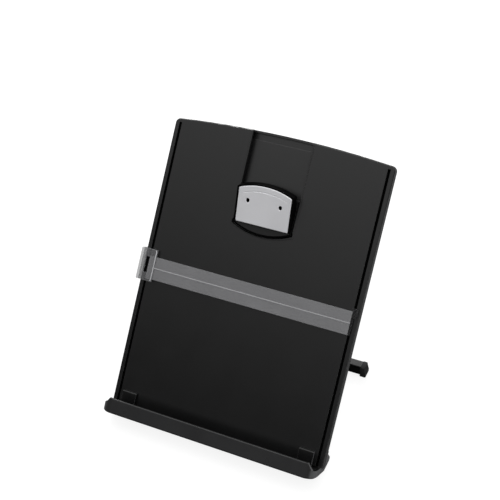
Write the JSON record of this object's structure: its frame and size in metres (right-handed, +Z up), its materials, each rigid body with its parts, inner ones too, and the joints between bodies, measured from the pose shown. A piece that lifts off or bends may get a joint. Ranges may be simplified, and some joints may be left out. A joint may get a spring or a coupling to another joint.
{
  "type": "copy holder with line guide",
  "caption": "Leaning copy holder with a ledge for pages, a sliding spring clip on an extending arm, a clear line guide across the board and a folding rear leg.",
  "frame": {"origin": "middle of the flat underside of the rubber strip under the ledge's heel, on the desk", "axes": "+X to the reader's right, +Y to the back, away from the reader, +Z up"},
  "size_m": [0.244, 0.2146, 0.2719],
  "materials": {
    "black_plastic": "fine matt moulded texture",
    "silver_plastic": "satin silver lacquer",
    "clear_plastic": "clear, polished",
    "rubber": "matt",
    "felt": "pressed felt",
    "steel": "zinc plated"
  },
  "bodies": {
    "stand": {"front_panel": "black_plastic", "back_shell": "black_plastic", "slide_track": "black_plastic", "slide_springs": "steel", "spring_rivets": "steel", "track_screws": "steel", "shell_screws": "steel", "ledge_tray": "black_plastic", "ledge_screws": "steel", "heel_strip": "rubber", "hinge_pin": "steel", "pin_caps": "black_plastic"},
    "clip_arm": {"slide_arm": "black_plastic", "clip_base": "black_plastic", "base_screws": "steel", "clip_pin": "steel"},
    "clip_lever": {"clip_lever": "black_plastic", "clip_plate": "silver_plastic", "jaw_pad": "rubber", "clip_spring": "steel"},
    "line_guide": {"guide_strip": "clear_plastic", "guide_bracket": "clear_plastic", "guide_glide": "clear_plastic", "guide_pad": "felt"},
    "rear_leg": {"leg_frame": "black_plastic", "foot_pads": "rubber"}
  },
  "joints": [
    {"name": "clip_slide", "type": "slide", "parent": "stand", "child": "clip_arm", "axis": [0, 0.5678, 0.8231], "range_m": [0, 0.169]},
    {"name": "clip_open", "type": "hinge", "parent": "clip_arm", "child": "clip_lever", "pos_m": [0, 0.11567, 0.21068], "axis": [-1, 0, 0], "range_deg": [0, 15], "stiffness_Nm_per_rad": 0.15, "springref_deg": -20.05},
    {"name": "guide_slide", "type": "slide", "parent": "stand", "child": "line_guide", "axis": [0, 0.5678, 0.8231], "range_m": [-0.116, 0.04]},
    {"name": "leg_fold", "type": "hinge", "parent": "stand", "child": "rear_leg", "pos_m": [0, 0.09884, 0.15], "axis": [-1, 0, 0], "range_deg": [0, 50]}
  ]
}
